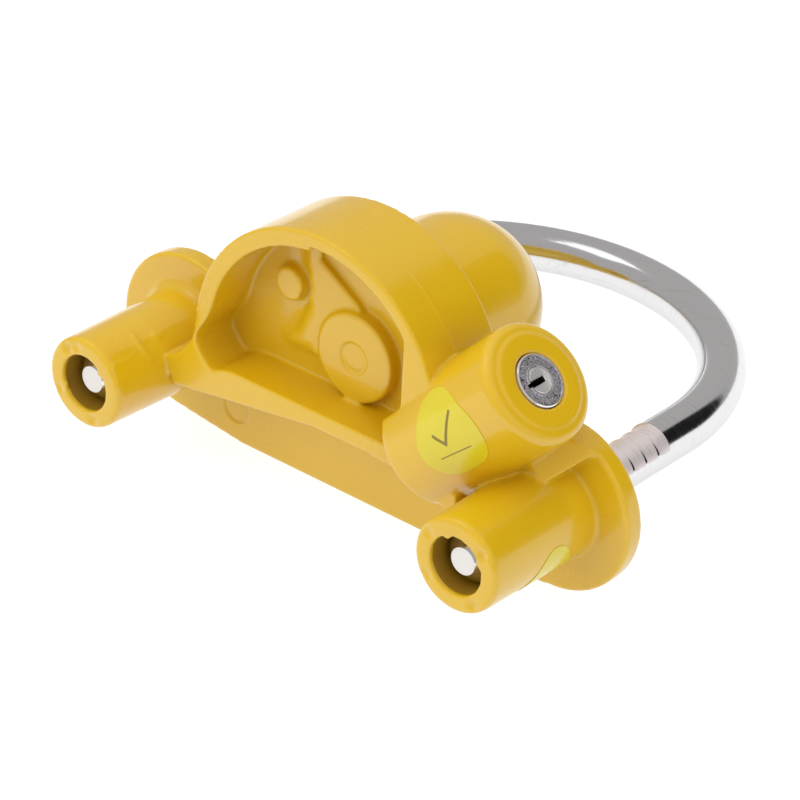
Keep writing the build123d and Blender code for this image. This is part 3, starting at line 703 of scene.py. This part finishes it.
# %% Keep the skin inside the CAD box, and thin it where it is flat
skin_limit = 190000                           # triangles
for vertex in bm.verts:
    for axis in range(3):
        vertex.co[axis] = min(max(vertex.co[axis], cad_low[axis]), cad_high[axis])
bm.to_mesh(casting.data)
triangles = sum(len(face.verts) - 2 for face in bm.faces)
bm.free()
share = min(1.0, skin_limit / triangles)
thin = casting.modifiers.new("thin", "DECIMATE")
thin.ratio = share
applied(casting).shade_smooth()
print("skin thinned to", round(share, 3), "of", triangles, "triangles")

# %% Painted shade in the bores of the tubes, which also hold less paint
mouth_r, mouth_depth = 7.7 * MM, 1.2 * MM     # the yellow coat reaches this far into a bore; past it lies the painted shade
# Faces deeper in take the dark brown coat, which paints the shade of the bore.
for face in casting.data.polygons:
    from_axis = math.hypot(abs(face.center.x) - leg_x, face.center.z - leg_z)
    in_bore = from_axis < mouth_r and face.center.y > tube_front + mouth_depth
    face.material_index = 1 if in_bore else 0
install(casting, "root", "yellow_coat", coat, bore_shade_coat, stands_for=("lock_body",))

# %% [markdown]
# ## The shackle
# The bar is one ring of points carried along its path: up the notched leg, round the bow and down the
# plain leg. The notches are turned about an axis beside the leg's own, so each ring is cut by a second
# circle, deepest on the side that faces the lock and fading out round the bar. Each notch is a steep
# wall, a short floor and a long ramp.

# %% Notch sizes
notch_pitch, notch_floor, notch_count, notch_top = 5.0 * MM, 0.9 * MM, 13, 32.9 * MM
notch_lip, notch_depth, notch_offset = 0.35 * MM, 1.75 * MM, 1.2 * MM
tip_chamfer, wall_lean = 2.85 * MM, 0.06 * MM # a notch's wall leans by this much to each side
first_wall = notch_top - notch_count * notch_pitch


def cut_radius(spoke, depth):
    """Radius of the notched bar along a unit spoke, where the cutter is `depth` deep facing the lock."""
    reach = bar_r - depth + notch_offset
    lean = notch_offset * spoke.dot(to_leg)
    return min(bar_r, lean + math.sqrt(lean * lean - notch_offset**2 + reach**2))


print("notches from y", round(first_wall, 4), "to", notch_top)

# %% Stations along the notched leg: place, radius of the uncut bar, notch depth
stations = [(tip_y, bar_r - tip_chamfer, 0), (tip_y + tip_chamfer, bar_r, 0)]
depth_before = 0
for i in range(notch_count):
    wall = first_wall + i * notch_pitch
    stations += [(wall - wall_lean, bar_r, depth_before), (wall + wall_lean, bar_r, notch_depth)]
    stations.append((wall + notch_floor, bar_r, notch_depth))
    depth_before = notch_lip
stations += [(notch_top - wall_lean, bar_r, notch_lip), (notch_top + wall_lean, bar_r, 0)]
stations.append((bow_y, bar_r, 0))
print("stations on the notched leg:", len(stations))

# %% Carry the ring up the notched leg
def next_ring(bm, edges):
    """Extrudes a ring of edges. Returns the new ring's points and edges."""
    made = bmesh.ops.extrude_edge_only(bm, edges=edges)["geom"]
    points = [item for item in made if isinstance(item, bmesh.types.BMVert)]
    new_edges = [item for item in made if isinstance(item, bmesh.types.BMEdge)]
    return points, [edge for edge in new_edges if all(vertex in points for vertex in edge.verts)]


ring_points, bow_steps = 96, 96
bm = bmesh.new()
leg_axis = Vector((leg_x, 0, leg_z))
flat_ring = Matrix.Translation(leg_axis + across * tip_y) @ Matrix.Rotation(math.radians(-90), 4, "X")
ring = bmesh.ops.create_circle(bm, segments=ring_points, radius=bar_r, matrix=flat_ring)["verts"]
edges = list({edge for vertex in ring for edge in vertex.link_edges})
for index, (place, radius, depth) in enumerate(stations):
    if index:
        ring, edges = next_ring(bm, edges)
    for vertex in ring:
        spoke = vertex.co - leg_axis
        spoke.y = 0
        spoke.normalize()
        length = min(radius, cut_radius(spoke, depth)) if depth else radius
        vertex.co = leg_axis + across * place + spoke * length
print("points on the notched leg:", len(bm.verts))

# %% Spin the bow, then run down the plain leg to its chamfered tip
bow_end = bmesh.ops.spin(
    bm, geom=edges, cent=(0, bow_y, leg_z), axis=(0, 0, 1), dvec=(0, 0, 0),
    angle=math.radians(180), steps=bow_steps, use_merge=False, use_duplicate=False,
)["geom_last"]
edges = [item for item in bow_end if isinstance(item, bmesh.types.BMEdge)]
for shift, narrow in ((tip_y + tip_chamfer - bow_y, 0), (-tip_chamfer, tip_chamfer)):
    ring, edges = next_ring(bm, edges)
    centre = sum((vertex.co for vertex in ring), Vector()) / len(ring)
    for vertex in ring:
        vertex.co += (centre - vertex.co).normalized() * narrow + across * shift
bmesh.ops.holes_fill(bm, edges=bm.edges, sides=0)
print("points on the whole bar:", len(bm.verts))

# %% Ground ramps, sawn tips, and chrome for the rest
cut_share = 0.995                             # of the bar's radius, under which a face has been cut
for face in bm.faces:
    middle = face.calc_center_median()
    from_axis = math.hypot(middle.x - leg_axis.x, middle.z - leg_axis.z)
    cut = from_axis < bar_r * cut_share and notch_top > middle.y > first_wall
    on_ramp = (middle.y - first_wall) % notch_pitch > notch_floor
    face.material_index = 1 if cut and on_ramp else 0
    if len(face.verts) > 4:
        face.material_index = 2
bar = to_piece(bm, "bent_bar", sharp=28)
install(bar, "shackle", "shackle_chrome", chrome, ground, zinc, stands_for=("shackle",))

# %% [markdown]
# ## The closed end of the pawl's bore
# The pawl's bore is drilled right through the leg tube and then plugged, and the paint bridges the rim.
# That skin of paint is a small disc, given a thickness, bent round the tube's axis and sunk a little
# below its surface. The disc is a line of short edges spun round, so that it has points enough to bend.

# %% Paint over the plugged bore
def spun_disc(inner, outer, level, cuts, steps):
    """A bmesh with a flat ring or disc round Z: a line between two radii, cut up and spun round."""
    bm = bmesh.new()
    spoke = bm.edges.new((bm.verts.new((inner, 0, level)), bm.verts.new((outer, 0, level))))
    bmesh.ops.subdivide_edges(bm, edges=[spoke], cuts=cuts)
    bmesh.ops.spin(
        bm, geom=[*bm.verts, *bm.edges], cent=(0, 0, 0), axis=(0, 0, 1), dvec=(0, 0, 0),
        angle=math.radians(360), steps=steps, use_merge=True, use_duplicate=False,
    )
    bmesh.ops.remove_doubles(bm, verts=bm.verts, dist=1e-7)
    return bm


cap_r, cap_sunk, cap_wall = 5.1 * MM, 0.16 * MM, 0.8 * MM
tube_r, tube_draft = 12.16 * MM, math.radians(1)
bm = spun_disc(0, cap_r, 0, cuts=7, steps=48)
inner_side = bmesh.ops.extrude_face_region(bm, geom=bm.faces[:])["geom"]
inner_points = [item for item in inner_side if isinstance(item, bmesh.types.BMVert)]
bmesh.ops.translate(bm, verts=inner_points, vec=(0, 0, -cap_wall))
for vertex in bm.verts:
    place = lock_face.y + vertex.co.y
    tube_here = tube_r + (place - tube_front) * math.tan(tube_draft) - cap_sunk + vertex.co.z
    turn = vertex.co.x / tube_r
    spoke = to_leg * math.cos(turn) + outward * math.sin(turn)
    vertex.co = leg_axis + across * place + spoke * tube_here
bore_cap = to_piece(bm, "painted_bore_cap", sharp=40)
install(bore_cap, "root", "yellow_coat", coat)

# %% [markdown]
# ## The face of the lock
# Between its two bright rims the sleeve carries a ring with a coarse pebbled texture. It is a flat ring
# spun in fine steps, with each point lifted by a noise, and sunk at the small notch beside the keyway.
# The plug keeps its CAD shape, but both halves of its face slope to the keyway, which guides the key in.

# %% Pebbled ring
ring_inner, ring_outer, ring_level = 3.97 * MM, 6.13 * MM, 0.42 * MM
pebble_height, pebble_size, ring_edge = 0.21 * MM, 0.36 * MM, 0.3 * MM
notch_half, notch_reach, notch_sink = 0.5 * MM, 4.5 * MM, 0.8 * MM


def in_notch(point):
    """True where the small notch beside the keyway cuts into the ring."""
    return abs(point.y) < notch_half and point.x < 0 and point.xy.length < notch_reach


bm = spun_disc(ring_inner, ring_outer, ring_level, cuts=17, steps=280)
for vertex in bm.verts:
    lift = noise.noise(vertex.co / pebble_size) + 0.5 * noise.noise(vertex.co / (pebble_size / 2))
    edge_gap = min(vertex.co.xy.length - ring_inner, ring_outer - vertex.co.xy.length)
    vertex.co.z += pebble_height * lift * min(1, edge_gap / ring_edge)
    if in_notch(vertex.co):
        vertex.co.z -= notch_sink
# The notch's faces take the near-black keyway material: painted shade in the notch.
for face in bm.faces:
    face.material_index = 1 if in_notch(face.calc_center_median()) else 0
bmesh.ops.transform(bm, matrix=lock_frame, verts=bm.verts)
pebbled_ring = to_piece(bm, "pebbled_ring", sharp=180)
install(pebbled_ring, "root", "lock_chrome", stipple, keyway_shade)

# %% Plug with a sloped face
keyway_half, keyway_end, slack = 0.75 * MM, 1.7 * MM, 0.01 * MM
face_rise, slope_depth = 0.5 * MM, 0.42 * MM
side_lean = 0.9                               # faces that point less outwards than this are walls
bm = copy_of("key_plug")
to_lock = lock_frame.inverted()
moved = 0
for vertex in bm.verts:
    local = to_lock @ vertex.co
    at_keyway = abs(local.y) < keyway_half + slack and local.x < keyway_end
    if at_keyway and local.z > face_rise - slack:
        vertex.co -= outward * slope_depth
        moved += 1
# The keyway's inner walls take the near-black material, which paints the shade inside the keyway.
for face in bm.faces:
    local = to_lock @ face.calc_center_median()
    at_keyway = abs(local.y) < keyway_half + slack and local.x < keyway_end
    wall = at_keyway and local.z < face_rise - slope_depth and abs(face.normal.dot(outward)) < side_lean
    face.material_index = 1 if wall else 0
plug = to_piece(bm, "faceted_plug", sharp=12)
install(plug, "plug", "plug_nickel", nickel, keyway_shade, stands_for=("key_plug",))
print("plug points sloped:", moved)

# %% [markdown]
# ## Sticker
# The film is the CAD node. Its print is a plain tick and a thin rule, cut from flat grids that are then
# wrapped round the housing, so they follow its curve.

# %% Print on the housing's sticker: start, end and width of each stroke in mm, on the flat sticker
housing_r, print_gap, sticker_depth = 15.2 * MM, 0.14 * MM, 20.3 * MM
strokes = [
    ((-3.6, 1.4), (-1.2, -1.6), 0.8),
    ((-1.2, -1.6), (4.4, 4.6), 0.8),
    ((-5.4, -4.0), (5.0, -4.9), 0.28),
]
bm = bmesh.new()
for start, end, width in strokes:
    start, end = Vector(start), Vector(end)
    run = end - start
    turn = Matrix.Rotation(math.atan2(run.y, run.x), 4, "Z")
    size = Matrix.Diagonal((run.length / 2 + width / 2, width / 2, 1, 1))
    place = Matrix.Translation((*((start + end) / 2), 0))
    bmesh.ops.create_grid(bm, x_segments=12, y_segments=2, size=1, matrix=place @ turn @ size)
for vertex in bm.verts:
    along_axis, round_axis = vertex.co.x * MM, vertex.co.y * MM
    angle = round_axis / housing_r
    side_way = -across * math.cos(angle) - to_leg * math.sin(angle)
    vertex.co = lock_face - outward * (sticker_depth - along_axis) + side_way * (housing_r + print_gap)
bm.normal_update()
tick_print = to_piece(bm, "tick_print", sharp=180)
install(tick_print, "root", "sticker_film", ink)

# %% [markdown]
# ## Parts that keep their CAD shape
# The small turned and stamped parts inside are right as they are and only need their metal.

# %% Finishes of the CAD nodes
node_finishes = {
    "lock_sleeve": rim_chrome, "seal_ring": rubber, "plug_clip": wire, "pawl_spring": wire,
    "drive_cam": steel, "pawl": steel, "cylinder_pin": steel,
    "bore_plug": coat, "housing_sticker": film, "tube_sticker": film,
    **{name: brass for name in nodes if name.startswith("wafer")},
}
for name, finish in node_finishes.items():
    nodes[name].material_slots[0].material = finish
print("finished nodes:", len(node_finishes))
